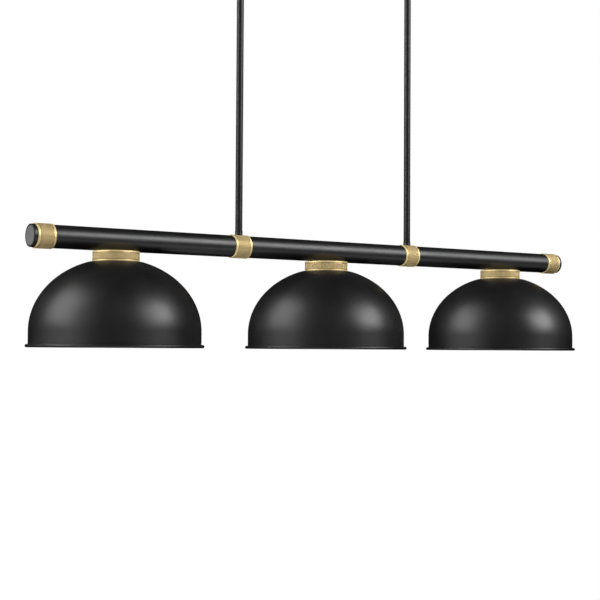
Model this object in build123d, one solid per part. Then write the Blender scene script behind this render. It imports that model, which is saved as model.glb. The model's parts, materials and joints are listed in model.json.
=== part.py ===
from build123d import *
import math
import os

os.makedirs("parts", exist_ok=True)

# ---------------------------------------------------------------------------
# Linear island pendant: a ceiling canopy, two hinged stems, one horizontal bar
# and three dome shades under it.
# Millimetres.  Origin: ceiling plane, centre of the outlet-box screw pattern.
# +Z up, X along the bar (left to right seen from the front, which is -Y).
# ---------------------------------------------------------------------------

# --- driving dimensions -----------------------------------------------------
SHADE_SPACING = 444.0      # shade centre to shade centre
STEM_X = 196.0             # stem centre from the middle
BAR_Z = -828.0             # bar axis below the ceiling
BAR_R = 19.8               # bar tube outer radius
BAR_WALL = 1.5
BAR_HALF = 598.0           # half length of the bar tube
CAP_PROUD = 5.5            # end cap face beyond the tube end
CAP_R = 19.5

SLEEVE_R = 21.3            # knurled brass sleeves on the bar
END_SLEEVE_OUT = 596.7     # outer edge of the end sleeves
END_SLEEVE_IN = 564.4
STEM_SLEEVE_HALF = 17.0    # half width of the stem sleeves
BEVEL = 1.0

STEM_R = 6.5
STEM_BORE = 4.5
LOWER_STEM = 609.6
UPPER_STEM = 152.4

SHADE_A = 147.3            # dome: half width of the ellipse
SHADE_B = 125.0            # dome: height of the ellipse
SHADE_ZC = -156.7          # ellipse centre below the bar axis
SHADE_T = 1.2              # sheet thickness
SHADE_TOP = -38.2          # flat top of the dome below the bar axis
RIM_R = 152.4              # outer radius of the rolled rim
BEAD_R = 2.8
BEAD_Z = -182.1
SHADE_HOLE = 20.6

FITTER_R = 40.5            # brass collar on top of each shade
FITTER_WALL = 2.0

SOCKET_R = 19.95           # lamp holder body
SOCKET_TOP = -34.0
SOCKET_BOTTOM = -90.0
SHELL_R = 13.25            # inside of the screw shell (medium screw base)
SHELL_T = 0.5
SHELL_LEN = 25.0
SHELL_TOP = -63.5

CANOPY_L = 480.0
CANOPY_W = 120.0
CANOPY_H = 26.0
CANOPY_T = 1.2
STRAP_L = 190.0
STRAP_W = 24.0
STRAP_T = 2.0
BOX_SPACING = 88.9         # outlet-box screw spacing
BOX_HOLE_R = 2.4
STUD_X = 75.0
STUD_R = 2.0

PIVOT_Z = -41.0            # swivel centre below the ceiling
BALL_R = 9.5
CUP_CAVITY_R = 9.8
NECK_R = 4.8
BALL_BORE = 3.6
COUPLING_R = 8.5
NIPPLE_R = 5.0
NIPPLE_BORE = 3.5

WIRE_R = 1.2
RUN_GAP = 0.07             # radial clearance of the pieces that turn on a thread

SIDES = {"left": -1, "right": 1}
PLACES = {"left": -SHADE_SPACING, "centre": 0.0, "right": SHADE_SPACING}


# --- helpers ------------------------------------------------------------------
def cyl_z(r, z0, z1, x=0.0, y=0.0):
    lo, hi = min(z0, z1), max(z0, z1)
    return Pos(x, y, (lo + hi) / 2) * Cylinder(r, hi - lo)


def tube_z(ro, ri, z0, z1, x=0.0, y=0.0):
    lo, hi = min(z0, z1), max(z0, z1)
    return cyl_z(ro, lo, hi, x, y) - cyl_z(ri, lo - 1, hi + 1, x, y)


def cyl_x(r, x0, x1, y=0.0, z=0.0):
    lo, hi = min(x0, x1), max(x0, x1)
    return Pos((lo + hi) / 2, y, z) * Rot(0, 90, 0) * Cylinder(r, hi - lo)


def box(x0, x1, y0, y1, z0, z1):
    return Pos((x0 + x1) / 2, (y0 + y1) / 2, (z0 + z1) / 2) * Box(
        abs(x1 - x0), abs(y1 - y0), abs(z1 - z0))


def hexnut_z(af, hole, z0, z1, x=0.0, y=0.0):
    lo, hi = min(z0, z1), max(z0, z1)
    prism = Pos(x, y, lo) * extrude(
        RegularPolygon(radius=af / math.sqrt(3), side_count=6), hi - lo)
    return prism - cyl_z(hole, lo - 1, hi + 1, x, y)


def turned_z(points, x=0.0, y=0.0, z=0.0):
    """A turned piece: closed polygon of (radius, height) about a vertical axis."""
    profile = make_face(Polyline(*[(r, 0, h) for r, h in points], close=True))
    return Pos(x, y, z) * revolve(profile, Axis.Z)


def turned_x(points, x=0.0, y=0.0, z=0.0):
    """A turned piece: closed polygon of (along, radius) about an axis along X."""
    profile = make_face(Polyline(*[(a, 0, r) for a, r in points], close=True))
    return Pos(x, y, z) * revolve(profile, Axis.X)


def wire(points, radii, r=WIRE_R):
    path = FilletPolyline(*points, radius=radii)
    start = Plane(origin=path @ 0, z_dir=path % 0)
    solid = sweep(start * Circle(r), path=path)
    want = path.length * math.pi * r * r
    print("wire %.0f mm, radii %s, volume ratio %.4f" % (path.length, radii, solid.volume / want))
    return solid


NODES = {}


def node(name, shape):
    solids = [s for s in shape.solids()] if not isinstance(shape, list) else [
        s for item in shape for s in item.solids()]
    NODES[name] = solids
    part = solids[0] if len(solids) == 1 else Compound(children=solids)
    part.label = name
    export_step(part, "parts/%s.step" % name)


# --- ceiling side: strap, studs, canopy ---------------------------------------
strap = box(-STRAP_L / 2, STRAP_L / 2, -STRAP_W / 2, STRAP_W / 2, -STRAP_T, 0)
strap = fillet(strap.edges().filter_by(Axis.Z), 4)
for s in (-1, 1):
    strap -= cyl_z(BOX_HOLE_R, -STRAP_T - 1, 1, x=s * BOX_SPACING / 2)
    strap -= cyl_z(STUD_R, -STRAP_T - 1, 1, x=s * STUD_X)
strap -= cyl_z(1.9, -STRAP_T - 1, 1, x=18, y=-5)
node("mounting_strap", strap)

STUD_END = -35.0
NUT_TOP = -CANOPY_H - 0.1
NUT_END = -CANOPY_H - 13.0
node("canopy_studs", [cyl_z(STUD_R, STUD_END, 0, x=s * STUD_X) for s in (-1, 1)])
node("stud_locknuts", [hexnut_z(7.0, STUD_R, -STRAP_T - 2.6, -STRAP_T, x=s * STUD_X)
                       for s in (-1, 1)])
node("ground_screw", cyl_z(1.9, -STRAP_T, 0, x=18, y=-5)
     + turned_z([(0, -4.6), (2.6, -4.6), (3.9, -3.6), (3.9, -STRAP_T), (0, -STRAP_T)], x=18, y=-5)
     - box(14, 22, -5.4, -4.6, -5.6, -3.9))

outer = box(-CANOPY_L / 2, CANOPY_L / 2, -CANOPY_W / 2, CANOPY_W / 2, -CANOPY_H, 0)
outer = fillet(outer.edges().filter_by(Axis.Z), 14)
outer = fillet(outer.faces().sort_by(Axis.Z)[0].edges(), 3)
inner = box(-CANOPY_L / 2 + CANOPY_T, CANOPY_L / 2 - CANOPY_T, -CANOPY_W / 2 + CANOPY_T,
            CANOPY_W / 2 - CANOPY_T, -CANOPY_H + CANOPY_T, 5)
inner = fillet(inner.edges().filter_by(Axis.Z), 14 - CANOPY_T)
inner = fillet(inner.faces().sort_by(Axis.Z)[0].edges(), 3 - CANOPY_T)
canopy = outer - inner
for s in (-1, 1):
    canopy -= cyl_z(STUD_R + 0.3, -CANOPY_H - 1, -20, x=s * STUD_X)
    canopy -= cyl_z(NIPPLE_R, -CANOPY_H - 1, -20, x=s * STEM_X)
node("canopy", canopy)

for name, s in SIDES.items():
    # knurled cap nut, closed at the bottom, on the canopy stud
    cap = turned_z([
        (STUD_R + RUN_GAP, NUT_TOP), (5.9, NUT_TOP), (6.5, NUT_TOP - 0.7), (6.5, NUT_TOP - 8.6),
        (5.9, NUT_TOP - 9.3), (5.0, NUT_TOP - 11.2), (3.0, NUT_TOP - 12.6), (0, NUT_END),
        (0, STUD_END - 0.5), (STUD_R + RUN_GAP, STUD_END - 0.5)], x=s * STUD_X)
    node("canopy_nut_" + name, cap)

# --- swivels -------------------------------------------------------------------
NIP_IN = math.sqrt(CUP_CAVITY_R ** 2 - NIPPLE_R ** 2)
LIP = -5.4                                   # lower lip of the cup below the pivot
lip_r = math.sqrt(CUP_CAVITY_R ** 2 - LIP ** 2)
for name, s in SIDES.items():
    cup = turned_z([
        (0, -CANOPY_H), (14.5, -CANOPY_H), (15.0, -CANOPY_H - 0.6), (15.0, -CANOPY_H - 3.0),
        (13.4, -CANOPY_H - 4.2), (13.4, PIVOT_Z - 1.0), (11.6, PIVOT_Z + LIP), (0, PIVOT_Z + LIP)],
        x=s * STEM_X)
    cup -= Pos(s * STEM_X, 0, PIVOT_Z) * Sphere(CUP_CAVITY_R)
    cup -= cyl_z(NIPPLE_R, PIVOT_Z + 2, 5, x=s * STEM_X)
    node("swivel_cup_" + name, cup)

    ball = Pos(s * STEM_X, 0, PIVOT_Z) * Sphere(BALL_R)
    ball += turned_z([
        (0, -6), (NECK_R, -6), (NECK_R, -17), (COUPLING_R - 0.8, -17), (COUPLING_R, -17.8),
        (COUPLING_R, -34.2), (COUPLING_R - 0.8, -35), (0, -35)], x=s * STEM_X, z=PIVOT_Z)
    ball -= cyl_z(BALL_BORE, PIVOT_Z - 40, PIVOT_Z + 20, x=s * STEM_X)
    ball -= turned_z([(0, 4.5), (BALL_BORE, 4.5), (7.4, 12), (0, 12)], x=s * STEM_X, z=PIVOT_Z)
    ball -= cyl_z(STEM_R, PIVOT_Z - 40, PIVOT_Z - 21, x=s * STEM_X)
    node("swivel_ball_" + name, ball)

node("swivel_nipples", [tube_z(NIPPLE_R, NIPPLE_BORE, PIVOT_Z + NIP_IN + 0.8, -14.0, x=s * STEM_X)
                        for s in (-1, 1)])
node("swivel_washers", [tube_z(9.5, NIPPLE_R, -CANOPY_H + CANOPY_T, -CANOPY_H + CANOPY_T + 1.2,
                               x=s * STEM_X) for s in (-1, 1)])
node("swivel_locknuts", [hexnut_z(14.0, NIPPLE_R, -CANOPY_H + CANOPY_T + 1.2,
                                  -CANOPY_H + CANOPY_T + 5.2, x=s * STEM_X) for s in (-1, 1)])

# --- stems ---------------------------------------------------------------------
UP_TOP = PIVOT_Z - 21.0
UP_BOTTOM = UP_TOP - UPPER_STEM
LOW_BOTTOM = UP_BOTTOM - LOWER_STEM
print("stem bottom above the bar axis: %.2f" % (LOW_BOTTOM - BAR_Z))
for name, s in SIDES.items():
    x = s * STEM_X
    up = tube_z(STEM_R, STEM_BORE, UP_BOTTOM, UP_TOP, x=x)
    low = tube_z(STEM_R, STEM_BORE, LOW_BOTTOM, UP_BOTTOM, x=x)
    # a fine turned groove marks the joint between the two lengths
    groove = tube_z(STEM_R + 1, STEM_R - 0.25, UP_BOTTOM - 0.3, UP_BOTTOM + 0.3, x=x)
    node("upper_stem_" + name, up - groove)
    node("lower_stem_" + name, low - groove)

    ring = turned_z([
        (STEM_R, 28.2), (6.8, 28.2), (7.1, 27.8), (7.1, 26.6), (6.75, 26.2), (6.75, 25.6),
        (7.1, 25.2), (7.1, 18.0), (STEM_R, 18.0)], x=x, z=BAR_Z)
    ring -= cyl_x(SLEEVE_R, x - 20, x + 20, z=BAR_Z)
    node("stem_base_ring_" + name, ring)

    anchor = cyl_x(BAR_R - BAR_WALL, x - 13, x + 13, z=BAR_Z)
    anchor -= cyl_z(STEM_R, LOW_BOTTOM, BAR_Z + 30, x=x)
    anchor -= cyl_z(STEM_BORE, BAR_Z - 10, BAR_Z + 30, x=x)
    anchor -= box(x - 20, x + 20, -5, 5, BAR_Z - 10, BAR_Z - 1)
    node("stem_anchor_" + name, anchor)

    sleeve = turned_x([
        (-STEM_SLEEVE_HALF, BAR_R), (-STEM_SLEEVE_HALF, SLEEVE_R - BEVEL * 0.6),
        (-STEM_SLEEVE_HALF + BEVEL, SLEEVE_R), (STEM_SLEEVE_HALF - BEVEL, SLEEVE_R),
        (STEM_SLEEVE_HALF, SLEEVE_R - BEVEL * 0.6), (STEM_SLEEVE_HALF, BAR_R)], x=x, z=BAR_Z)
    sleeve -= cyl_z(STEM_R, BAR_Z + 5, BAR_Z + 40, x=x)
    node("stem_collar_" + name, sleeve)

node("stem_nipples", [tube_z(STEM_BORE, NIPPLE_BORE, UP_BOTTOM - 15, UP_BOTTOM + 15, x=s * STEM_X)
                      for s in (-1, 1)])

# --- bar -----------------------------------------------------------------------
bar = cyl_x(BAR_R, -BAR_HALF, BAR_HALF, z=BAR_Z) - cyl_x(
    BAR_R - BAR_WALL, -BAR_HALF - 1, BAR_HALF + 1, z=BAR_Z)
for s in (-1, 1):
    bar -= cyl_z(STEM_R, BAR_Z + 5, BAR_Z + 40, x=s * STEM_X)
for x in PLACES.values():
    bar -= cyl_z(NIPPLE_R, BAR_Z - 40, BAR_Z - 5, x=x)
node("bar_tube", bar)

for name, s in SIDES.items():
    pts = [(END_SLEEVE_IN, BAR_R), (END_SLEEVE_IN, SLEEVE_R - BEVEL * 0.6),
           (END_SLEEVE_IN + BEVEL, SLEEVE_R), (END_SLEEVE_OUT - BEVEL, SLEEVE_R),
           (END_SLEEVE_OUT, SLEEVE_R - BEVEL * 0.6), (END_SLEEVE_OUT, BAR_R)]
    node("end_collar_" + name, turned_x([(s * a, r) for a, r in pts], z=BAR_Z))
    face = BAR_HALF + CAP_PROUD
    pts = [(BAR_HALF - 12, 0), (BAR_HALF - 12, BAR_R - BAR_WALL - 0.6),
           (BAR_HALF - 11, BAR_R - BAR_WALL), (BAR_HALF, BAR_R - BAR_WALL), (BAR_HALF, CAP_R),
           (face - 1.3, CAP_R), (face - 0.4, CAP_R - 0.5), (face, CAP_R - 1.5), (face, 0)]
    node("end_cap_" + name, turned_x([(s * a, r) for a, r in pts], z=BAR_Z))

# --- shade fixing inside the bar -------------------------------------------------
inner_r = BAR_R - BAR_WALL
saddles, nuts, nipples = [], [], []
for x in PLACES.values():
    saddle = cyl_x(inner_r, x - 8, x + 8, z=BAR_Z) & box(
        x - 8, x + 8, -8, 8, BAR_Z - 30, BAR_Z - 14.5)
    saddles.append(saddle - cyl_z(NIPPLE_R, BAR_Z - 30, BAR_Z - 5, x=x))
    nuts.append(hexnut_z(14.0, NIPPLE_R, BAR_Z - 14.5, BAR_Z - 11.5, x=x))
    nipples.append(tube_z(NIPPLE_R, NIPPLE_BORE, BAR_Z - 27, BAR_Z - 11.2, x=x))
node("saddle_washers", saddles)
node("nipple_nuts", nuts)
node("socket_nipples", nipples)

# --- shades, collars and lamp holders --------------------------------------------
def ellipse_arc(a, b, z_from_centre):
    """Quarter of the dome, from the skirt up to a height above the ellipse centre."""
    t = math.degrees(math.asin(z_from_centre / b))
    return EllipticalCenterArc((0, 0), a, b, start_angle=0, arc_size=t)


def dome_profile():
    up_out = SHADE_TOP - SHADE_ZC
    out = ellipse_arc(SHADE_A, SHADE_B, up_out)
    inn = ellipse_arc(SHADE_A - SHADE_T, SHADE_B - SHADE_T, up_out - SHADE_T)
    dz = BEAD_Z - SHADE_ZC
    bx = RIM_R - BEAD_R
    crease = math.acos((SHADE_A - bx) / BEAD_R)
    mid = (-math.pi / 2 + crease) / 2
    ri = SHADE_A - SHADE_T
    bead = ThreePointArc(
        (bx, dz - BEAD_R), (bx + BEAD_R * math.cos(mid), dz + BEAD_R * math.sin(mid)),
        (SHADE_A, dz + BEAD_R * math.sin(crease)))
    edges = [
        out,
        Line(out @ 1, (SHADE_HOLE, up_out)),
        Line((SHADE_HOLE, up_out), (SHADE_HOLE, up_out - SHADE_T)),
        Line((SHADE_HOLE, up_out - SHADE_T), inn @ 1),
        inn,
        Line(inn @ 0, (ri, dz - BEAD_R + 1.5)),
        Line((ri, dz - BEAD_R + 1.5), (ri + 1.5, dz - BEAD_R)),
        Line((ri + 1.5, dz - BEAD_R), bead @ 0),
        bead,
        Line(bead @ 1, out @ 0),
    ]
    return make_face(edges)


flat = dome_profile()
dome = revolve(Plane.XZ * flat, Axis.Z)
print("dome volume %.0f valid %s" % (dome.volume, dome.is_valid))

contacts = []
for name, x in PLACES.items():
    node("shade_" + name, Pos(x, 0, BAR_Z + SHADE_ZC) * dome)

    top = -BAR_R
    fitter = turned_z([
        (NIPPLE_R, top), (FITTER_R - BEVEL, top), (FITTER_R, top - BEVEL),
        (FITTER_R, SHADE_TOP + BEVEL), (FITTER_R - BEVEL, SHADE_TOP),
        (FITTER_R - FITTER_WALL, SHADE_TOP), (FITTER_R - FITTER_WALL, top - FITTER_WALL),
        (NIPPLE_R, top - FITTER_WALL)], x=x, z=BAR_Z)
    node("fitter_collar_" + name, fitter)

    cap_top = top - FITTER_WALL
    cup = turned_z([
        (NIPPLE_R, cap_top), (23.0, cap_top), (24.0, cap_top - 1), (24.0, SHADE_TOP),
        (SOCKET_R, SHADE_TOP), (SOCKET_R, cap_top - 3), (9.0, cap_top - 3), (9.0, cap_top - 5.2),
        (NIPPLE_R, cap_top - 5.2)], x=x, z=BAR_Z)
    node("socket_cap_" + name, cup)

    body = turned_z([
        (8.0, SOCKET_TOP), (SOCKET_R, SOCKET_TOP), (SOCKET_R, SOCKET_BOTTOM + 1.2),
        (SOCKET_R - 1.2, SOCKET_BOTTOM), (SHELL_R + SHELL_T + 0.8, SOCKET_BOTTOM),
        (SHELL_R + SHELL_T, SOCKET_BOTTOM + 0.8), (SHELL_R + SHELL_T, SHELL_TOP + 1.5),
        (0, SHELL_TOP + 1.5), (0, -50.0), (8.0, -50.0)], x=x, z=BAR_Z)
    node("socket_body_" + name, body)

    shell = turned_z([
        (9.0, SHELL_TOP + 0.5), (SHELL_R + SHELL_T, SHELL_TOP + 0.5),
        (SHELL_R + SHELL_T, SHELL_TOP - SHELL_LEN), (SHELL_R, SHELL_TOP - SHELL_LEN),
        (SHELL_R, SHELL_TOP), (9.0, SHELL_TOP)], x=x, z=BAR_Z)
    node("screw_shell_" + name, shell)

    tongue = cyl_z(2.4, BAR_Z + SHELL_TOP + 0.1, BAR_Z + SHELL_TOP + 1.5, x=x) + box(
        x - 2.2, x + 7.0, -2.2, 2.2, BAR_Z + SHELL_TOP + 0.9, BAR_Z + SHELL_TOP + 1.5)
    contacts.append(tongue)

    ring_top = SHADE_TOP - SHADE_T - 0.1
    ring = turned_z([
        (SOCKET_R + RUN_GAP, ring_top), (27.0, ring_top), (28.0, ring_top - 0.8),
        (28.0, ring_top - 3.0), (25.2, ring_top - 4.0), (25.2, ring_top - 9.2),
        (24.4, ring_top - 10.0), (SOCKET_R + RUN_GAP, ring_top - 10.0)], x=x, z=BAR_Z)
    node("shade_ring_" + name, ring)
node("centre_contacts", contacts)

# --- wiring ----------------------------------------------------------------------
W = 1.4                                     # half pitch between neighbouring wires
RUN_Z = BAR_Z - 5.5
END_Z = BAR_Z - 49.6
START = PIVOT_Z + 7.0                       # the wires stop inside the ball
bend = 6.0


def lamp_wire(x0, y0, x1):
    return wire([(x0, y0, START), (x0, y0, RUN_Z), (x1, y0, RUN_Z), (x1, y0, END_Z)],
                [bend, bend])


routes = [(-STEM_X - W, -SHADE_SPACING), (-STEM_X + W, 0.0), (STEM_X, SHADE_SPACING)]
node("live_wires", [lamp_wire(x0, -W, x1) for x0, x1 in routes])
node("neutral_wires", [lamp_wire(x0, W, x1) for x0, x1 in routes])

# canopy leads: up through the swivel nipples and across to the wire connectors
TOP = PIVOT_Z + 10.0                        # the leads start just above the ball
NUT_Y = -30.0
live_x, neutral_x, ground_x = -24.0, 24.0, 58.0


def canopy_lead(x0, y0, z_run, y_run, x1, z_end):
    side = -1 if x0 < 0 else 1
    knee = x0 - side * 46.0
    return wire([(x0, y0, TOP), (x0, y0, z_run), (knee, y_run, z_run),
                 (x1, y_run, z_end), (x1, NUT_Y, z_end)], [5.0, 12.0, 5.0])


node("canopy_live_leads", [
    canopy_lead(-STEM_X - W, -W, -7.0, -21.0, live_x + 2.9, -9.0),
    canopy_lead(-STEM_X + W, -W, -10.5, -24.0, live_x - 2.9, -12.5),
    canopy_lead(STEM_X, -W, -12.0, -21.0, live_x + 2.9, -15.5)])
node("canopy_neutral_leads", [
    canopy_lead(-STEM_X - W, W, -5.6, -15.6, neutral_x - 2.9, -7.4),
    canopy_lead(-STEM_X + W, W, -9.2, -18.2, neutral_x - 2.9, -11.0),
    canopy_lead(STEM_X, W, -8.0, -16.4, neutral_x + 2.9, -9.0)])
node("ground_lead", wire([(18.0, -9.2, -3.4), (18.0, -20.0, -3.4), (ground_x, -20.0, -10.0),
                          (ground_x, NUT_Y, -10.0)], [4.0, 4.0]))

connectors = []
for x, z in ((live_x, -12.0), (neutral_x, -10.0), (ground_x, -10.0)):
    shape = revolve(make_face(Polyline(
        (0, 0), (7.6, 0), (7.6, -3.0), (6.4, -3.8), (5.0, -18.0), (4.0, -20.0), (0, -20.5),
        close=True)), Axis.Y)
    connectors.append(Pos(x, NUT_Y, z) * shape)
node("wire_connectors", connectors)

print("nodes", len(NODES))
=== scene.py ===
import bpy
import json
import math
import numpy as np
from mathutils import Matrix, Vector


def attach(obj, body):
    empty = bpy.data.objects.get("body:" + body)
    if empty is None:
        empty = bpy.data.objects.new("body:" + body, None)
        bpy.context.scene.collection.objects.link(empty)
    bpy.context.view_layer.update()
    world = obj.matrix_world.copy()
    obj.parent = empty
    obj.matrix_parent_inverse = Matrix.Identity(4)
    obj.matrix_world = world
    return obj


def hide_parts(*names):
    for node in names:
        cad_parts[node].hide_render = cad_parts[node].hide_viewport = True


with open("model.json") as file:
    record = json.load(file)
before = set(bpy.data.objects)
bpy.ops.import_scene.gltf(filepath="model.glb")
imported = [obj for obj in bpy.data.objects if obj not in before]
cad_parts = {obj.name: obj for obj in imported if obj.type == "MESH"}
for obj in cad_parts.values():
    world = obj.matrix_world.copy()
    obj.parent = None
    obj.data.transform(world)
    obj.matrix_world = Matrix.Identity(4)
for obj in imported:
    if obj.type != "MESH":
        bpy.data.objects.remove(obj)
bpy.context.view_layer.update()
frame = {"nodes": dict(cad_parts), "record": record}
NODES = frame["nodes"]

MM = 0.001
BAR_Z = -828.0
STEM_X = 196.0
STEM_R = 6.5
SPACING = 444.0
SIDES = {"left": -1, "right": 1}
PLACES = {"left": -SPACING, "centre": 0.0, "right": SPACING}
HANG = "hanging_frame"
TOPSIDE = "ceiling_fixing"

scene = bpy.context.scene
scene.view_settings.view_transform = "Standard"
scene.view_settings.look = "None"


# =============================================================================
# mesh helpers (all lengths in millimetres until the mesh is made)
# =============================================================================
def make_object(name, verts, faces, sharp=32.0, mats=None, mat_ids=None):
    mesh = bpy.data.meshes.new(name)
    mesh.from_pydata([tuple(c * MM for c in v) for v in verts], [], faces)
    mesh.validate(clean_customdata=False)
    mesh.update()
    mesh.polygons.foreach_set("use_smooth", [True] * len(mesh.polygons))
    if sharp is not None:
        mesh.set_sharp_from_angle(angle=math.radians(sharp))
    obj = bpy.data.objects.new(name, mesh)
    scene.collection.objects.link(obj)
    for m in mats or []:
        mesh.materials.append(m)
    if mat_ids is not None:
        mesh.polygons.foreach_set("material_index", mat_ids)
    return obj


def rounded(points, closed=True, steps=4):
    """Corners of a profile replaced by arcs. Each point is (a, b) or (a, b, radius)."""
    out = []
    n = len(points)
    for i, p in enumerate(points):
        r = p[2] if len(p) > 2 else 0.0
        c = Vector((p[0], p[1]))
        if r <= 0 or (not closed and i in (0, n - 1)):
            out.append((c.x, c.y))
            continue
        a = Vector(points[i - 1][:2]) - c
        b = Vector(points[(i + 1) % n][:2]) - c
        la, lb = a.length, b.length
        a.normalize(), b.normalize()
        ang = a.angle(b)
        if ang > math.pi - 1e-3:
            out.append((c.x, c.y))
            continue
        t = min(r / math.tan(ang / 2), la * 0.49, lb * 0.49)
        rr = t * math.tan(ang / 2)
        bis = (a + b).normalized()
        centre = c + bis * (rr / math.sin(ang / 2))
        p0, p1 = c + a * t, c + b * t
        v0, v1 = p0 - centre, p1 - centre
        a0, a1 = math.atan2(v0.y, v0.x), math.atan2(v1.y, v1.x)
        d = (a1 - a0 + math.pi) % (2 * math.pi) - math.pi
        for k in range(steps + 1):
            w = a0 + d * k / steps
            out.append((centre.x + rr * math.cos(w), centre.y + rr * math.sin(w)))
    return out


def spin(name, profile, segs=96, axis="Z", at=(0, 0, 0), closed=True, sharp=32.0, mats=None, picks=None):
    """A turned piece. profile: (radius, along). Points with radius 0 become one vertex."""
    verts, rings = [], []
    for r, h in profile:
        if r < 1e-6:
            rings.append([len(verts)])
            verts.append((0, 0, h))
        else:
            start = len(verts)
            for k in range(segs):
                a = 2 * math.pi * k / segs
                verts.append((r * math.cos(a), r * math.sin(a), h))
            rings.append(list(range(start, start + segs)))
    faces, ids = [], []
    n = len(rings)
    for i in range(n if closed else n - 1):
        A, B = rings[i], rings[(i + 1) % n]
        if len(A) == 1 and len(B) == 1:
            continue
        for k in range(segs):
            k2 = (k + 1) % segs
            if len(A) == 1:
                faces.append((A[0], B[k2], B[k]))
            elif len(B) == 1:
                faces.append((A[k], A[k2], B[0]))
            else:
                faces.append((A[k], A[k2], B[k2], B[k]))
            ids.append(picks[i] if picks else 0)
    verts = orient(verts, axis, at)
    obj = make_object(name, verts, faces, sharp, mats, ids if picks else None)
    outward(obj)
    return obj


def orient(verts, axis, at):
    if axis == "X":
        verts = [(z, x, y) for x, y, z in verts]
    elif axis == "Y":
        verts = [(y, z, x) for x, y, z in verts]
    return [(x + at[0], y + at[1], z + at[2]) for x, y, z in verts]


def outward(obj):
    """Faces turned so that the normals point out of the closed mesh."""
    import bmesh
    bm = bmesh.new()
    bm.from_mesh(obj.data)
    bmesh.ops.recalc_face_normals(bm, faces=bm.faces)
    if bm.calc_volume(signed=True) < 0:
        bmesh.ops.reverse_faces(bm, faces=bm.faces)
    bm.to_mesh(obj.data)
    bm.free()


def join(objs, name):
    bpy.ops.object.select_all(action="DESELECT")
    for o in objs:
        o.select_set(True)
    bpy.context.view_layer.objects.active = objs[0]
    bpy.ops.object.join()
    objs[0].name = name
    objs[0].data.name = name
    return objs[0]


def prism(name, outline, z0, z1, at=(0, 0, 0), hole=None, bevel=0.0, mats=None, segs=48):
    """A closed outline raised from z0 to z1, with an optional round hole."""
    import bmesh
    bm = bmesh.new()
    n = len(outline)
    if hole:
        inner = [(hole * math.cos(2 * math.pi * k / n + math.atan2(outline[0][1], outline[0][0])),
                  hole * math.sin(2 * math.pi * k / n + math.atan2(outline[0][1], outline[0][0])))
                 for k in range(n)]
        vs = [[bm.verts.new((x * MM, y * MM, z * MM)) for x, y in ring]
              for ring, z in ((outline, z0), (outline, z1), (inner, z1), (inner, z0))]
        for j in range(4):
            A, B = vs[j], vs[(j + 1) % 4]
            for k in range(n):
                k2 = (k + 1) % n
                bm.faces.new((A[k], A[k2], B[k2], B[k]))
    else:
        lo = [bm.verts.new((x * MM, y * MM, z0 * MM)) for x, y in outline]
        hi = [bm.verts.new((x * MM, y * MM, z1 * MM)) for x, y in outline]
        bm.faces.new(list(reversed(lo)))
        bm.faces.new(hi)
        for k in range(n):
            k2 = (k + 1) % n
            bm.faces.new((lo[k], lo[k2], hi[k2], hi[k]))
    bmesh.ops.recalc_face_normals(bm, faces=bm.faces)
    mesh = bpy.data.meshes.new(name)
    bm.to_mesh(mesh)
    bm.free()
    for m in mats or []:
        mesh.materials.append(m)
    mesh.transform(Matrix.Translation([c * MM for c in at]))
    obj = bpy.data.objects.new(name, mesh)
    scene.collection.objects.link(obj)
    if bevel:
        mod = obj.modifiers.new("bevel", "BEVEL")
        mod.width = bevel * MM
        mod.segments = 2
        mod.limit_method = "ANGLE"
        mod.angle_limit = math.radians(30)
        apply_all(obj)
    obj.data.polygons.foreach_set("use_smooth", [True] * len(obj.data.polygons))
    obj.data.set_sharp_from_angle(angle=math.radians(32))
    return obj


def apply_all(obj):
    bpy.context.view_layer.update()
    dg = bpy.context.evaluated_depsgraph_get()
    mesh = bpy.data.meshes.new_from_object(obj.evaluated_get(dg))
    old = obj.data
    obj.modifiers.clear()
    obj.data = mesh
    mesh.name = old.name
    bpy.data.meshes.remove(old)


def carry(obj, body, slot, *nodes):
    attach(obj, body)
    if nodes:
        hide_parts(*nodes)
    return obj


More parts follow.
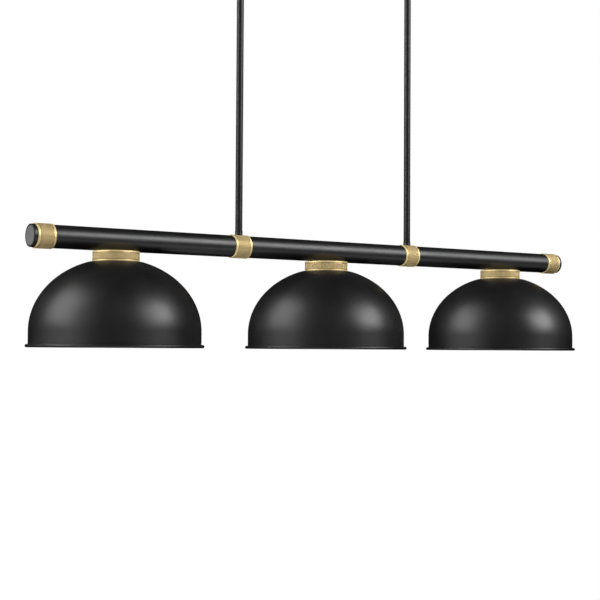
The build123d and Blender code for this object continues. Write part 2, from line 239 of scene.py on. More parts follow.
# =============================================================================
# materials
# =============================================================================
class Graph:
    """Short hand for building a node material."""

    def __init__(self, name):
        self.mat = bpy.data.materials.new(name)
        self.mat.use_nodes = True
        self.nt = self.mat.node_tree
        self.nt.nodes.clear()
        self.out = self.nt.nodes.new("ShaderNodeOutputMaterial")
        self.bsdf = self.nt.nodes.new("ShaderNodeBsdfPrincipled")
        self.link(self.bsdf.outputs[0], self.out.inputs[0])
        self.coord = self.nt.nodes.new("ShaderNodeTexCoord")

    def link(self, a, b):
        self.nt.links.new(a, b)

    def set(self, **kw):
        for k, v in kw.items():
            self.bsdf.inputs[k.replace("_", " ")].default_value = v

    def noise(self, scale, detail=2.0, rough=0.5, stretch=None, distortion=0.0):
        n = self.nt.nodes.new("ShaderNodeTexNoise")
        n.inputs["Scale"].default_value = scale
        n.inputs["Detail"].default_value = detail
        n.inputs["Roughness"].default_value = rough
        n.inputs["Distortion"].default_value = distortion
        if stretch:
            m = self.nt.nodes.new("ShaderNodeMapping")
            m.inputs["Scale"].default_value = stretch
            self.link(self.coord.outputs["Object"], m.inputs["Vector"])
            self.link(m.outputs[0], n.inputs["Vector"])
        else:
            self.link(self.coord.outputs["Object"], n.inputs["Vector"])
        return n.outputs["Fac"]

    def remap(self, value, lo, hi, a=0.3, b=0.7):
        m = self.nt.nodes.new("ShaderNodeMapRange")
        m.inputs["From Min"].default_value = a
        m.inputs["From Max"].default_value = b
        m.inputs["To Min"].default_value = lo
        m.inputs["To Max"].default_value = hi
        self.link(value, m.inputs["Value"])
        return m.outputs[0]

    def ramp(self, value, stops):
        r = self.nt.nodes.new("ShaderNodeValToRGB")
        e = r.color_ramp.elements
        while len(e) < len(stops):
            e.new(0.5)
        for el, (pos, col) in zip(e, stops):
            el.position = pos
            el.color = (*col, 1.0)
        self.link(value, r.inputs[0])
        return r.outputs[0]

    def mix(self, fac, a, b):
        m = self.nt.nodes.new("ShaderNodeMix")
        m.data_type = "RGBA"
        for src, key in ((a, 6), (b, 7)):
            if isinstance(src, tuple):
                m.inputs[key].default_value = (*src, 1.0)
            else:
                self.link(src, m.inputs[key])
        if isinstance(fac, float):
            m.inputs[0].default_value = fac
        else:
            self.link(fac, m.inputs[0])
        return m.outputs[2]

    def math(self, op, a, b=None):
        m = self.nt.nodes.new("ShaderNodeMath")
        m.operation = op
        for i, v in enumerate((a, b)):
            if v is None:
                continue
            if isinstance(v, (int, float)):
                m.inputs[i].default_value = v
            else:
                self.link(v, m.inputs[i])
        return m.outputs[0]

    def attribute(self, name):
        a = self.nt.nodes.new("ShaderNodeAttribute")
        a.attribute_name = name
        return a.outputs["Fac"]

    def bump(self, height, strength, distance, normal=None):
        b = self.nt.nodes.new("ShaderNodeBump")
        b.inputs["Strength"].default_value = strength
        b.inputs["Distance"].default_value = distance
        self.link(height, b.inputs["Height"])
        if normal is not None:
            self.link(normal, b.inputs["Normal"])
        return b.outputs[0]

    def to(self, socket, name):
        self.link(socket, self.bsdf.inputs[name])


def black_coat(name, lo=0.0035, hi=0.0055, rough=(0.37, 0.45), peel=0.10):
    """Satin black powder coat: fine orange peel, slow changes of sheen."""
    g = Graph(name)
    slow = g.noise(14.0, 3.0, 0.55)
    g.to(g.ramp(slow, [(0.3, (lo, lo, lo * 1.02)), (0.7, (hi, hi, hi * 1.03))]), "Base Color")
    fine = g.noise(420.0, 2.0, 0.6)
    sheen = g.math("ADD", g.math("MULTIPLY", slow, 0.7), g.math("MULTIPLY", fine, 0.3))
    g.to(g.remap(sheen, rough[0], rough[1], 0.35, 0.65), "Roughness")
    grain = g.noise(1500.0, 2.0, 0.5)
    both = g.math("ADD", g.math("MULTIPLY", fine, 0.7), g.math("MULTIPLY", grain, 0.3))
    g.to(g.bump(both, peel, 0.00025), "Normal")
    g.set(IOR=1.5, Specular_IOR_Level=0.28)
    return g.mat


def cap_face_painted_reflection(name):
    """Dull dark grey disc inside the cap's black rim, with faint turning marks; the grey is painted reflection of a
    bright backdrop on a black cap face.
    """
    g = Graph(name)
    slow = g.noise(45.0, 3.0, 0.55)
    # painted reflection: this grey base colour stands in for a bright backdrop mirrored in the black cap face
    g.to(g.ramp(slow, [(0.3, (0.088, 0.088, 0.089)), (0.7, (0.102, 0.102, 0.103))]), "Base Color")
    fine = g.noise(700.0, 2.0, 0.6)
    g.to(g.remap(fine, 0.48, 0.58), "Roughness")
    g.to(g.bump(fine, 0.10, 0.0002), "Normal")
    return g.mat


def white_enamel(name):
    g = Graph(name)
    slow = g.noise(11.0, 3.0, 0.5)
    g.to(g.ramp(slow, [(0.3, (0.67, 0.665, 0.645)), (0.7, (0.73, 0.725, 0.705))]), "Base Color")
    fine = g.noise(500.0, 2.0, 0.6)
    g.to(g.remap(fine, 0.34, 0.44), "Roughness")
    g.to(g.bump(fine, 0.08, 0.0002), "Normal")
    return g.mat


def aged_brass_shaded_grooves(name, along="X", shade_grooves=True):
    """Satin brass: turned lines round the axis; painted shade darkens the knurl's grooves when shade_grooves is set.
    """
    g = Graph(name)
    slow = g.noise(60.0, 4.0, 0.6)
    tone = g.ramp(slow, [(0.25, (0.475, 0.362, 0.162)), (0.5, (0.56, 0.436, 0.205)),
                         (0.8, (0.625, 0.495, 0.248))])
    # painted shade: the mesh's groove attribute blends the base colour towards near-black in the knurl's grooves and
    # relief grooves
    groove = g.attribute("groove")
    dark = g.mix(g.remap(groove, 0.0, 1.0, 0.15, 0.85), tone, (0.10, 0.062, 0.02))
    g.to(dark if shade_grooves else tone, "Base Color")
    stretch = (60.0, 1.0, 1.0) if along == "X" else (1.0, 1.0, 60.0)
    lines = g.noise(40.0, 3.0, 0.6, stretch=stretch)
    rough = g.math("ADD", g.math("MULTIPLY", lines, 0.5), g.math("MULTIPLY", slow, 0.5))
    g.to(g.remap(rough, 0.46, 0.58, 0.35, 0.65), "Roughness")
    g.to(g.bump(lines, 0.12, 0.0001), "Normal")
    g.set(Metallic=0.55)
    return g.mat


def steel(name, tint=(0.60, 0.61, 0.62), rough=(0.28, 0.42), patchy=0.92):
    g = Graph(name)
    slow = g.noise(90.0, 4.0, 0.6)
    t2 = tuple(c * patchy for c in tint)
    g.to(g.ramp(slow, [(0.3, t2), (0.7, tint)]), "Base Color")
    g.to(g.remap(slow, rough[0], rough[1]), "Roughness")
    fine = g.noise(900.0, 2.0, 0.5)
    g.to(g.bump(fine, 0.06, 0.0001), "Normal")
    g.set(Metallic=1.0)
    return g.mat


def plastic(name, lo, hi, rough=(0.35, 0.5), bump=0.08):
    g = Graph(name)
    slow = g.noise(70.0, 3.0, 0.5)
    g.to(g.ramp(slow, [(0.3, lo), (0.7, hi)]), "Base Color")
    fine = g.noise(1100.0, 2.0, 0.5)
    g.to(g.remap(fine, rough[0], rough[1]), "Roughness")
    g.to(g.bump(fine, bump, 0.0001), "Normal")
    return g.mat


BLACK = black_coat("black_powder_coat")
CAP_FACE_PAINTED_REFLECTION = cap_face_painted_reflection("grey_cap_face")
WHITE = white_enamel("white_enamel_inside")
BRASS_X = aged_brass_shaded_grooves("aged_brass_on_bar", "X")
BRASS_Z = aged_brass_shaded_grooves("aged_brass_upright", "Z")
ZINC = steel("zinc_plated_steel", (0.48, 0.49, 0.50), (0.36, 0.44))
SHELL = steel("rolled_shell", (0.80, 0.78, 0.72), (0.22, 0.34))
CONTACT = aged_brass_shaded_grooves("stamped_brass", "Z", shade_grooves=False)
PHENOL = plastic("moulded_black", (0.014, 0.014, 0.014), (0.024, 0.023, 0.022))
WIRE_BLACK = plastic("insulation_black", (0.010, 0.010, 0.010), (0.018, 0.018, 0.018), (0.3, 0.4))
WIRE_WHITE = plastic("insulation_white", (0.66, 0.65, 0.61), (0.74, 0.73, 0.70), (0.3, 0.4))
WIRE_GREEN = plastic("insulation_green", (0.015, 0.17, 0.05), (0.025, 0.22, 0.07), (0.3, 0.4))
CONNECTOR = plastic("connector_orange", (0.62, 0.15, 0.015), (0.70, 0.19, 0.02), (0.25, 0.36))

SLOT_MAT = {
    "black_coat": BLACK, "knurled_brass": BRASS_X, "zinc_steel": ZINC, "socket_plastic": PHENOL,
    "shell_metal": SHELL, "contact_brass": CONTACT, "black_insulation": WIRE_BLACK,
    "white_insulation": WIRE_WHITE, "green_insulation": WIRE_GREEN, "connector_plastic": CONNECTOR}
slot_of = {s["node"]: s["material_slot"] for s in frame["record"]["subparts"]}
for node_name, obj in NODES.items():
    obj.data.materials.clear()
    obj.data.materials.append(SLOT_MAT[slot_of[node_name]])

# =============================================================================
# knurled brass
# =============================================================================
def knurl_height(u, v):
    """Crossed V grooves. u, v in pitches; 0 at the tips, 1 in the grooves' bottoms."""
    a = abs(((u + v) % 1.0) - 0.5) * 2
    b = abs(((u - v) % 1.0) - 0.5) * 2
    d = max(a, b)                                    # 1 on a groove line, 0 on a tip
    return max(0.0, (d - 0.30) / 0.70)               # a small flat worn on each tip


def field_turned(name, rows, segs, axis, at, mats, sharp=24.0, closed=True, picks=None):
    """A turned piece whose radius may change round the axis.
    rows: (height, radius) or (height, function of k -> (radius, groove))."""
    verts, groove, rings = [], [], []
    for h, f in rows:
        if not callable(f) and f < 1e-6:
            rings.append([len(verts)])
            verts.append((0, 0, h))
            groove.append(0.0)
            continue
        start = len(verts)
        for k in range(segs):
            a = 2 * math.pi * k / segs
            r, g = f(k) if callable(f) else (f, 0.0)
            verts.append((r * math.cos(a), r * math.sin(a), h))
            groove.append(g)
        rings.append(list(range(start, start + segs)))
    faces, ids = [], []
    n = len(rings)
    for i in range(n if closed else n - 1):
        A, B = rings[i], rings[(i + 1) % n]
        if len(A) == 1 and len(B) == 1:
            continue
        for k in range(segs):
            k2 = (k + 1) % segs
            if len(A) == 1:
                faces.append((A[0], B[k2], B[k]))
            elif len(B) == 1:
                faces.append((A[k], A[k2], B[0]))
            else:
                faces.append((A[k], A[k2], B[k2], B[k]))
            ids.append(picks[i] if picks else 0)
    verts = orient(verts, axis, at)
    obj = make_object(name, verts, faces, None, mats, ids if picks else None)
    # the groove attribute is the mask for painted shade in grooves, read by the brass material
    att = obj.data.attributes.new("groove", "FLOAT", "POINT")
    att.data.foreach_set("value", groove)
    outward(obj)
    obj.data.set_sharp_from_angle(angle=math.radians(sharp))
    return obj


def knurl_band(r, h0, h1, around, depth, sub=4, relief=0.42):
    """Rows of a diamond-knurled band between two turned reliefs."""
    pitch = 1.2 * 2 * math.pi * r / around
    step = 1 if h1 > h0 else -1
    total = max(2, int(round(abs(h1 - h0) / pitch))) * sub
    # each row's second value feeds the groove mask for painted shade; the plain relief grooves get it too
    rows = [(h0 - step * 0.75, lambda k: (r, 0.0)), (h0 - step * 0.63, lambda k: (r - relief * 0.72, 0.3)),
            (h0 - step * 0.25, lambda k: (r - relief, 0.8))]
    for i in range(total + 1):
        fade = min(1.0, min(i, total - i) / sub * 2.0)

        def f(k, v=i / sub, fade=fade):
            g = knurl_height(k / sub, v)
            low = max(g * depth, (1 - fade) * relief)
            return (r + 0.02 - low, max(g, (1 - fade) * 0.7))
        rows.append((h0 + (h1 - h0) * i / total, f))
    rows += [(h1 + step * 0.25, lambda k: (r - relief, 0.8)),
             (h1 + step * 0.63, lambda k: (r - relief * 0.72, 0.3)), (h1 + step * 0.75, lambda k: (r, 0.0))]
    return rows


def bevel_rows(r, h, inward, b, c=0.12):
    """End of a sleeve: outer corner of a bevelled land. inward: +1 if the piece lies above h."""
    rows = [(h + inward * c * t, r - b * 0.66 + c * t) for t in (0.0, 0.5, 1.0)]
    rows += [(h + inward * b * (0.8 + 0.35 * t), r - c * (1 - t) ** 2) for t in (0.0, 0.35, 0.7, 1.0)]
    return rows


def knurled_sleeve(name, r_out, r_in, h0, h1, band0, band1, around, depth=0.52, axis="X",
                   at=(0, 0, 0), mat=None, bevel=1.0, sub=4):
    """A brass sleeve with plain bevelled ends and a diamond-knurled band between them."""
    rows = bevel_rows(r_out, h0, 1, bevel)
    rows += knurl_band(r_out, band0, band1, around, depth, sub)
    rows += bevel_rows(r_out, h1, -1, bevel)[::-1]
    rows += [(h1, r_in + 0.15), (h1 - 0.15, r_in), (h0 + 0.15, r_in), (h0, r_in + 0.15)]
    return field_turned(name, rows, around * sub, axis, at, [mat])


def bored(obj, cuts, tight=False):
    """Round holes cut through a finished mesh. cuts: (radius, z0, z1, x, y) in millimetres."""
    bpy.context.view_layer.update()
    tools = []
    for r, z0, z1, x, y in cuts:
        pts = [(r, z0), (r, z1), (0, z1), (0, z0)]
        c = spin("cutter", pts, 48, "Z", (x, y, 0), sharp=30.0, mats=None)
        tools.append(c)
        m = obj.modifiers.new("hole", "BOOLEAN")
        m.operation = "DIFFERENCE"
        m.solver = "EXACT"
        m.object = c
    apply_all(obj)
    for c in tools:
        bpy.data.objects.remove(c)
    obj.data.polygons.foreach_set("use_smooth", [True] * len(obj.data.polygons))
    obj.data.set_sharp_from_angle(angle=math.radians(24))
    return obj


SLEEVE_R, BAR_R = 21.3, 19.8
for side, s in SIDES.items():
    o = knurled_sleeve("end_collar_%s_knurled" % side, SLEEVE_R, BAR_R, 564.4, 596.7, 568.7, 592.4,
                       54, axis="X", at=(0, 0, BAR_Z), mat=BRASS_X)
    if s < 0:
        o.data.transform(Matrix.Scale(-1, 4, (1, 0, 0)))
        o.data.flip_normals()
    carry(o, HANG, "knurled_brass", "end_collar_" + side)
    o = knurled_sleeve("stem_collar_%s_knurled" % side, SLEEVE_R, BAR_R, -17.0, 17.0, -12.6, 12.6,
                       54, axis="X", at=(s * STEM_X, 0, BAR_Z), mat=BRASS_X)
    bored(o, [(STEM_R, BAR_Z + 5, BAR_Z + 30, s * STEM_X, 0)])
    carry(o, HANG, "knurled_brass", "stem_collar_" + side)

for place, x in PLACES.items():
    R, top, low = 40.5, -19.8, -38.2
    rows = bevel_rows(R, low, 1, 1.0)
    rows += knurl_band(R, -34.6, -23.4, 98, 0.50)
    rows += bevel_rows(R, top, -1, 1.0)[::-1]
    rows += [(top, 30.0), (top, 14.0), (top, 5.2), (top - 0.2, 5.0), (top - 1.8, 5.0), (top - 2.0, 5.2),
             (top - 2.0, 20.0), (top - 2.0, 37.9), (top - 2.18, 38.3), (top - 2.6, 38.5),
             (low + 0.2, 38.5), (low, 38.7)]
    o = field_turned("fitter_collar_%s_knurled" % place, rows, 392, "Z", (x, 0, BAR_Z), [BRASS_Z])
    carry(o, HANG, "knurled_brass", "fitter_collar_" + place)

# =============================================================================
# bar, caps and stems
# =============================================================================
bar = spin("bar_tube_coated", [(BAR_R - 1.5, -598.0), (BAR_R - 0.2, -598.0), (BAR_R, -597.8)]
           + [(BAR_R, -597.8 + 1195.6 * i / 40) for i in range(1, 40)]
           + [(BAR_R, 597.8), (BAR_R - 0.2, 598.0), (BAR_R - 1.5, 598.0)],
           160, "X", (0, 0, BAR_Z), mats=[BLACK])
bored(bar, [(STEM_R, BAR_Z + 5, BAR_Z + 30, s * STEM_X, 0) for s in (-1, 1)]
      + [(5.0, BAR_Z - 30, BAR_Z - 5, x, 0) for x in PLACES.values()])
carry(bar, HANG, "black_coat", "bar_tube")

for side, s in SIDES.items():
    prof = rounded([(0, 586.0), (17.7, 586.0), (18.3, 587.0), (18.3, 598.0), (19.5, 598.0, 0.2),
                    (19.5, 603.5, 1.0), (17.0, 603.5, 0.35), (16.6, 602.95, 0.25), (0, 602.95)],
                   steps=6)
    # the cap's flat face takes the grey painted-reflection material; the rest of the cap is black coat
    face = [1 if (h < 603.0 and h > 602.9 and r < 16.8) else 0 for r, h in prof]
    cap = spin("end_cap_%s_turned" % side, [(r, s * h) for r, h in prof], 128, "X", (0, 0, BAR_Z),
               closed=False, mats=[BLACK, CAP_FACE_PAINTED_REFLECTION], picks=face)
    carry(cap, HANG, "black_coat", "end_cap_" + side)
    x = s * STEM_X
    up_top, up_bot, low_bot = -62.0, -214.4, -824.0
    for nm, z0, z1 in (("upper_stem_", up_bot, up_top), ("lower_stem_", low_bot, up_bot)):
        stem = spin(nm + side + "_tube",
                    rounded([(4.5, z0 + 0.05), (STEM_R, z0 + 0.05, 0.22)] + [(STEM_R, z0 + (z1 - z0) * i / 12) for i in range(1, 12)]
                            + [(STEM_R, z1 - 0.05, 0.22), (4.5, z1 - 0.05)], steps=3),
                    64, "Z", (x, 0, 0), mats=[BLACK])
        carry(stem, HANG, "black_coat", nm + side)
    # lock ring: its foot is cut to the sleeve that it sits on
    ring_prof = rounded([(STEM_R, 28.2), (6.8, 28.2, 0.12), (7.1, 27.8, 0.2), (7.1, 26.6, 0.2), (6.75, 26.25, 0.1),
                         (6.75, 25.65, 0.1), (7.1, 25.3, 0.2), (7.1, 20.0), (STEM_R, 20.0)], steps=3)
    ring = spin("stem_base_ring_%s_turned" % side, ring_prof, 72, "Z", (x, 0, BAR_Z), mats=[BLACK])
    for v in ring.data.vertices:
        if v.co.z < (BAR_Z + 21.0) * MM:
            y = v.co.y / MM
            v.co.z = (BAR_Z + math.sqrt((SLEEVE_R + 0.05) ** 2 - y * y)) * MM
    carry(ring, HANG, "black_coat", "stem_base_ring_" + side)

# =============================================================================
# shades
# =============================================================================
def shade_profile():
    a, b, zc, t = 147.3, 125.0, -156.7, 1.2
    top = -38.2
    out = []
    pick = []
    te = math.asin((top - zc) / b)
    n = 84
    for i in range(n + 1):
        w = te * i / n
        out.append((a * math.cos(w), zc + b * math.sin(w)))
    # ease the edge between dome and flat top
    flat = [(out[-1][0] - 0.6, top + 0.0)] + [(r, top) for r in (38.0, 30.0, 20.8)]
    out = out[:-1] + [(out[-1][0] + 0.2, top - 0.12)] + flat
    hole = [(20.6, top - 0.2), (20.6, top - t + 0.2), (20.8, top - t)]
    ti = math.asin((top - t - zc) / (b - t))
    inn = []
    for i in range(n, -1, -1):
        w = ti * i / n
        inn.append(((a - t) * math.cos(w), zc + (b - t) * math.sin(w)))
    bz, br, bx = -182.1, 2.8, 152.4 - 2.8
    curl_in = [(a - t, -176.0), (a - t, -182.4)]
    for k in range(1, 7):
        w = math.pi + (math.pi / 2) * k / 6
        curl_in.append((a - t + 2.2 + 2.2 * math.cos(w), bz - br + 2.2 + 2.2 * math.sin(w)))
    crease = math.acos((a - bx) / br)
    bead = []
    m = 22
    for k in range(m + 1):
        w = -math.pi / 2 + (crease + math.pi / 2) * k / m
        bead.append((bx + br * math.cos(w), bz + br * math.sin(w)))
    skirt = [(a, bead[-1][1] + 0.5), (a, -176.0)]
    prof = out + hole + inn + curl_in + bead + skirt
    picks = [0] * len(out) + [0] * (len(hole) - 1) + [1] * (len(inn) + 3)
    picks += [0] * (len(prof) - len(picks))
    return prof, picks


prof, picks = shade_profile()
for place, x in PLACES.items():
    o = spin("shade_%s_spun" % place, prof, 224, "Z", (x, 0, BAR_Z), sharp=50.0,
             mats=[BLACK, WHITE], picks=picks)
    carry(o, HANG, "black_coat", "shade_" + place)

# =============================================================================
# lamp holders
# =============================================================================
def helix(h, k, segs, pitch, hand=1):
    """0 at a crest, 1 in a root, following a screw line."""
    return 0.5 - 0.5 * math.cos(2 * math.pi * (h / pitch - hand * k / segs))


for place, x in PLACES.items():
    at = (x, 0, BAR_Z)
    segs = 96
    # body: moulded thread for the shade ring, a waist line, a rounded foot and the recess
    rows = [(-34.0, 8.0), (-34.0, 19.3), (-34.25, 19.75), (-34.8, 19.95), (-37.8, 19.95)]
    n = 96
    for i in range(n + 1):
        h = -38.4 - 18.0 * i / n
        fade = min(1.0, min(i, n - i) / n * 9.0)

        def f(k, h=h, fade=fade):
            w = helix(h, k, segs, 2.0)
            sq = min(1.0, max(0.0, (w - 0.25) * 1.9))
            return (19.93 - 0.55 * sq * fade, 0.0)
        rows.append((h, f))
    rows += [(-57.0, 19.95), (-60.2, 19.95), (-60.5, 19.6), (-61.1, 19.6), (-61.4, 19.95), (-75.0, 19.95),
             (-88.2, 19.95), (-89.2, 19.7), (-89.8, 19.2), (-90.0, 18.5), (-90.0, 15.2), (-89.8, 14.7),
             (-89.2, 14.05), (-88.6, 13.8), (-75.0, 13.75), (-62.4, 13.75), (-62.1, 13.5), (-62.0, 13.2),
             (-62.0, 6.0), (-62.0, 0.0)]
    low = len(rows) - 1
    rows += [(-50.0, 0.0), (-50.0, 7.6), (-49.7, 8.0)]
    o = field_turned("socket_body_%s_moulded" % place, rows, segs, "Z", at, [PHENOL], 30.0)
    carry(o, HANG, "socket_plastic", "socket_body_" + place)

    # rolled screw shell: both faces of the sheet follow the thread
    segs = 96
    pitch = 25.4 / 7
    n = 84
    outer, inner = [], []
    for i in range(n + 1):
        h = -64.2 - 22.6 * i / n
        fade = min(1.0, min(i, n - i) / n * 10.0)
        outer.append((h, lambda k, h=h, fade=fade: (13.72 - 0.62 * helix(h, k, segs, pitch) * fade, 0.0)))
        inner.append((h, lambda k, h=h, fade=fade: (13.30 - 0.62 * helix(h, k, segs, pitch) * fade, 0.0)))
    rows = [(-63.05, 9.1), (-63.0, 9.3), (-63.0, 13.3), (-63.2, 13.62)] + outer
    rows += [(-87.8, 13.72), (-88.3, 13.7), (-88.5, 13.55), (-88.5, 13.4), (-88.3, 13.28), (-87.8, 13.26)]
    rows += inner[::-1] + [(-63.6, 13.2), (-63.45, 13.0), (-63.45, 9.3), (-63.35, 9.1)]
    o = field_turned("screw_shell_%s_rolled" % place, rows, segs, "Z", at, [SHELL], 40.0)
    carry(o, HANG, "shell_metal", "screw_shell_" + place)

    # shade ring: thin flange, ribbed skirt for the fingers
    segs = 24 * 8

    def rib(k, r=25.15, deep=0.75):
        w = (k % 8) / 8.0
        v = 0.5 - 0.5 * math.cos(2 * math.pi * w)
        v = min(1.0, max(0.0, (v - 0.35) * 1.9))
        return (r - deep * v, v)
    t = -39.5
    rows = [(t, 20.4), (t, 27.2), (t - 0.12, 27.7), (t - 0.45, 27.98), (t - 2.4, 28.0), (t - 2.8, 27.85), (t - 3.05, 27.4),
            (t - 3.3, 26.6), (t - 3.7, 25.6), (t - 4.1, 25.2)]
    for q in range(9):
        h = t - 4.35 - 4.5 * q / 8
        e = min(1.0, min(q, 8 - q) / 1.5)
        rows.append((h, lambda k, e=e: rib(k, deep=0.75 * e)))
    rows += [(t - 9.2, 25.15), (t - 9.6, 24.95), (t - 9.88, 24.55), (t - 10.0, 24.1), (t - 10.0, 20.5), (t - 9.85, 20.15),
             (t - 9.5, 20.03), (t - 0.4, 20.03), (t - 0.1, 20.15)]
    o = field_turned("shade_ring_%s_ribbed" % place, rows, segs, "Z", at, [PHENOL], 28.0)
    carry(o, "shade_ring_%s_body" % place, "socket_plastic", "shade_ring_" + place)

# =============================================================================
# canopy, swivels, canopy nuts, wire connectors
# =============================================================================
def round_rect(l, w, r, per=14):
    pts = []
    for cx, cy, a0 in ((l / 2 - r, w / 2 - r, 0), (-l / 2 + r, w / 2 - r, 90), (-l / 2 + r, -w / 2 + r, 180),
                       (l / 2 - r, -w / 2 + r, 270)):
        for i in range(per + 1):
            a = math.radians(a0 + 90.0 * i / per)
            pts.append((cx + r * math.cos(a), cy + r * math.sin(a)))
    return pts


def canopy_mesh():
    """Pressed sheet cover: rounded corners, rolled lower edge, rim folded flat at the ceiling."""
    L, W, H, T, R, E = 480.0, 120.0, 26.0, 1.2, 14.0, 3.0
    loops = []

    def loop(inset, z):
        loops.append([(x, y, z) for x, y in round_rect(L - 2 * inset, W - 2 * inset, max(R - inset, 0.4))])
    loop(T * 0.75, 0.0)
    loop(0.12, -0.0)
    loop(0.0, -0.15)
    for z in (-6.0, -12.0, -18.0):
        loop(0.0, z)
    for i in range(9):
        a = math.radians(90.0 * i / 8)
        loop(E - E * math.cos(a), -H + E - E * math.sin(a))
    for inset in (13.5,):
        loop(inset, -H)
    bottom = len(loops) - 1
    inner = []
    e = E - T
    loops2 = []

    def loop2(inset, z):
        loops2.append([(x, y, z) for x, y in round_rect(L - 2 * inset, W - 2 * inset, max(R - inset, 0.4))])
    loop2(13.5, -H + T)
    for i in range(8, -1, -1):
        a = math.radians(90.0 * i / 8)
        loop2(T + e - e * math.cos(a), -H + T + e - e * math.sin(a))
    for z in (-18.0, -12.0, -6.0, -0.15):
        loop2(T, z)
    n = len(loops[0])
    verts, faces = [], []
    rings = []
    for lp in loops + loops2:
        rings.append(list(range(len(verts), len(verts) + n)))
        verts += lp
    m = len(rings)
    for i in range(m):
        if i == bottom:
            continue
        A, B = rings[i], rings[(i + 1) % m]
        for k in range(n):
            k2 = (k + 1) % n
            faces.append((A[k], A[k2], B[k2], B[k]))
    faces.append(tuple(rings[bottom]))
    faces.append(tuple(rings[bottom + 1]))
    obj = make_object("canopy_pressed", verts, faces, None, [BLACK])
    outward(obj)
    return obj


o = canopy_mesh()
bored(o, [(2.3, -30.0, -20.0, s * 75.0, 0) for s in (-1, 1)] + [(5.0, -30.0, -20.0, s * STEM_X, 0) for s in (-1, 1)])
carry(o, TOPSIDE, "black_coat", "canopy")

for side, s in SIDES.items():
    # cap nut: knurled barrel, domed end
    r = 6.5
    rows = [(-26.1, 2.3), (-26.1, 5.75), (-26.2, 5.95), (-26.75, 6.47), (-27.2, 6.5)]
    rows += knurl_band(r, -28.2, -34.0, 24, 0.30, 4, 0.30)
    rows += [(-35.0, 6.45), (-35.5, 6.05), (-35.8, 5.75)]
    rows += [(-35.8 - 3.2 * math.sin(math.radians(a)), 5.75 * math.cos(math.radians(a))) for a in (15, 30, 45, 60, 75)]
    rows += [(-39.0, 0.0), (-35.5, 0.0), (-35.5, 1.9), (-35.3, 2.07), (-26.4, 2.07)]
    o = field_turned("canopy_nut_%s_knurled" % side, rows, 96, "Z", (s * 75.0, 0, 0), [BRASS_Z], 30.0)
    carry(o, "canopy_nut_%s_body" % side, "knurled_brass", "canopy_nut_" + side)

    x = s * STEM_X
    pz = -41.0
    cav = []
    a0, a1 = math.atan2(-5.4, 8.178), math.atan2(8.4285, 5.0)
    for i in range(25):
        a = a0 + (a1 - a0) * i / 24
        cav.append((9.8 * math.cos(a), pz + 9.8 * math.sin(a)))
    prof = rounded([(5.0, -26.0), (14.9, -26.0, 0.5), (14.9, -29.4, 0.8), (13.4, -30.2, 0.7), (13.4, -42.0, 1.2),
                    (11.7, -46.4, 0.6), (8.5, -46.4, 0.15)], closed=False, steps=5) + cav
    o = spin("swivel_cup_%s_turned" % side, prof, 112, "Z", (x, 0, 0), sharp=34.0, mats=[BLACK])
    carry(o, TOPSIDE, "black_coat", "swivel_cup_" + side)

    ball = []
    b0, b1 = math.atan2(7.88, 5.31), math.atan2(-8.198, 4.8)
    for i in range(33):
        a = b0 + (b1 - b0) * i / 32
        ball.append((9.5 * math.cos(a), pz + 9.5 * math.sin(a)))
    prof = [(3.6, pz - 21.0), (3.6, pz + 4.5)] + ball + rounded(
        [(4.8, pz - 12.0), (4.8, pz - 17.0, 0.35), (8.45, pz - 17.0, 0.7), (8.45, pz - 35.0, 0.7), (6.55, pz - 35.0, 0.1),
         (6.55, pz - 21.0)], closed=False, steps=5)
    o = spin("swivel_ball_%s_turned" % side, prof, 112, "Z", (x, 0, 0), sharp=34.0, mats=[BLACK])
    carry(o, HANG, "black_coat", "swivel_ball_" + side)

nuts = []
for i, (x, z) in enumerate(((-24.0, -12.0), (24.0, -10.0), (58.0, -10.0))):
    segs = 14 * 8

    def ribs(k, r, deep):
        v = 0.5 - 0.5 * math.cos(2 * math.pi * (k % 8) / 8.0)
        return (r - deep * min(1.0, v * 1.4), v)
    rows = [(0.0, 4.6), (0.0, 7.1), (-0.25, 7.5), (-0.7, 7.58), (-2.4, 7.58), (-2.9, 7.4), (-3.3, 6.9), (-3.7, 6.45)]
    for q in range(13):
        t = q / 12
        e = min(1.0, q / 1.5, (12 - q) / 2.5)
        rows.append((-4.2 - 13.2 * t, lambda k, t=t, e=e: ribs(k, 6.35 - 1.35 * t, 0.55 * e)))
    rows += [(-18.3, 4.75), (-19.4, 4.2), (-20.1, 3.3), (-20.4, 2.0), (-20.5, 0.0)]
    rows += [(-10.0, 0.0), (-9.0, 3.2), (-1.0, 4.2)]
    rows = [(h, f) for h, f in rows]
    c = field_turned("connector_%d" % i, rows, segs, "Y", (x, -30.0, z), [CONNECTOR], 30.0)
    nuts.append(c)
o = join(nuts, "wire_connectors_ribbed")
carry(o, TOPSIDE, "connector_plastic", "wire_connectors")

# =============================================================================
# camera
# =============================================================================
YAW, PITCH, ROLL = math.radians(34.7656), math.radians(2.0518), math.radians(0.32451)
CAM = Vector((-1567.1, -2171.5, -188.1 + BAR_Z)) * MM
fwd = Vector((math.sin(YAW) * math.cos(PITCH), math.cos(YAW) * math.cos(PITCH), math.sin(PITCH)))
right = Vector((math.cos(YAW), -math.sin(YAW), 0.0))
up = right.cross(fwd)
r2 = right * math.cos(ROLL) + up * math.sin(ROLL)
u2 = -right * math.sin(ROLL) + up * math.cos(ROLL)
cam_data = bpy.data.cameras.new("camera")
cam_data.lens = 85.0
cam_data.sensor_width = 36.0
cam_data.sensor_fit = "HORIZONTAL"
cam_data.clip_start = 0.05
cam_data.clip_end = 60.0
cam = bpy.data.objects.new("camera", cam_data)
m = Matrix.Identity(4)
for i in range(3):
    m[i][0], m[i][1], m[i][2], m[i][3] = r2[i], u2[i], -fwd[i], CAM[i]
cam.matrix_world = m
scene.collection.objects.link(cam)
scene.camera = cam

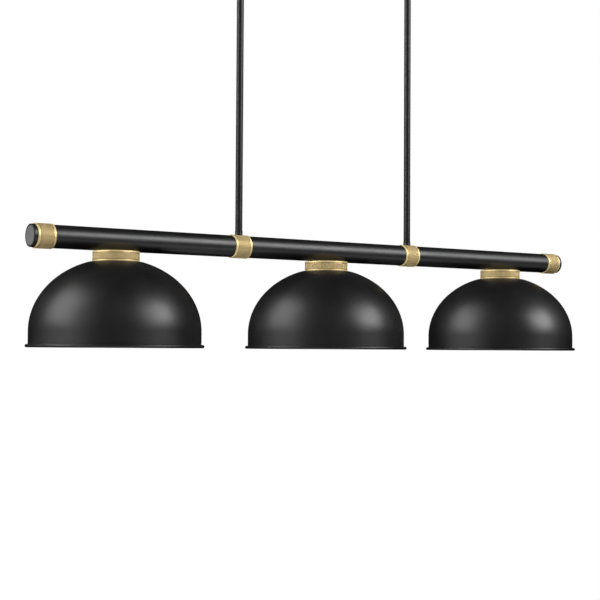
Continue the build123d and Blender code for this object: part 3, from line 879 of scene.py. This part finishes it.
# =============================================================================
# floor, light
# =============================================================================
def stage_material():
    mat = bpy.data.materials.new("pale_floor")
    mat.use_nodes = True
    nt = mat.node_tree
    nt.nodes.clear()
    out = nt.nodes.new("ShaderNodeOutputMaterial")
    em = nt.nodes.new("ShaderNodeEmission")
    em.inputs["Color"].default_value = (1, 1, 1, 1)
    em.inputs["Strength"].default_value = 1.0
    nt.links.new(em.outputs[0], out.inputs[0])
    return mat


floor_mesh = bpy.data.meshes.new("floor")
F = 30.0
floor_mesh.from_pydata([(-F, -F, -2.45), (F, -F, -2.45), (F, F, -2.45), (-F, F, -2.45)], [], [(0, 1, 2, 3)])
floor = bpy.data.objects.new("floor", floor_mesh)
floor_mesh.materials.append(stage_material())
scene.collection.objects.link(floor)
floor.visible_diffuse = False
floor.visible_glossy = False

world = bpy.data.worlds.new("studio")
scene.world = world
world.use_nodes = True
wn = world.node_tree
wn.nodes["Background"].inputs[0].default_value = (1, 1, 1, 1)
wn.nodes["Background"].inputs[1].default_value = 1.0
world.cycles_visibility.diffuse = False
world.cycles_visibility.glossy = False
world.cycles_visibility.transmission = False
world.cycles_visibility.scatter = False

AIM = Vector((0, 0, (BAR_Z - 100) * MM))


def softbox(name, direction, distance, width, height, power, shadow=True):
    """direction: (right, towards the camera, up) as seen in the photograph."""
    d = (right * direction[0] - fwd * direction[1] + Vector((0, 0, direction[2]))).normalized()
    data = bpy.data.lights.new(name, "AREA")
    data.shape = "RECTANGLE"
    data.size = width
    data.size_y = height
    data.energy = power
    data.use_shadow = shadow
    data.cycles.use_multiple_importance_sampling = shadow
    obj = bpy.data.objects.new(name, data)
    obj.location = AIM + d * distance
    obj.rotation_euler = (-d).to_track_quat("-Z", "Y").to_euler()
    scene.collection.objects.link(obj)
    obj.visible_camera = False
    return obj


def far_box(name, azimuth, elevation, across, tall, radiance, distance=9.0, shadow=True):
    """azimuth from the camera's side of the object, + to its right; sizes as angles."""
    a, e = math.radians(azimuth), math.radians(elevation)
    w = 2 * distance * math.tan(math.radians(across) / 2)
    h = 2 * distance * math.tan(math.radians(tall) / 2)
    power = radiance * math.pi * w * h
    return softbox(name, (math.sin(a) * math.cos(e), math.cos(a) * math.cos(e), math.sin(e)),
                   distance, w, h, power, shadow)


far_box("right_softbox", 71.0, 28.0, 31.0, 28.0, 18.4, 16.0)
far_box("left_softbox", -74.0, 32.0, 38.0, 44.0, 8.4, 16.0, shadow=False)
far_box("low_right_softbox", 64.0, -32.0, 44.0, 28.0, 2.4, 12.0)
far_box("low_left_softbox", -78.0, -18.0, 36.0, 30.0, 1.4, 12.0, shadow=False)
far_box("front_left_softbox", -50.0, 10.0, 30.0, 30.0, 2.2, 8.0, shadow=False)
far_box("front_fill", 0.0, 0.0, 120.0, 90.0, 0.28, 5.0)
far_box("under_fill", 0.0, -76.0, 60.0, 60.0, 2.8, 4.0)
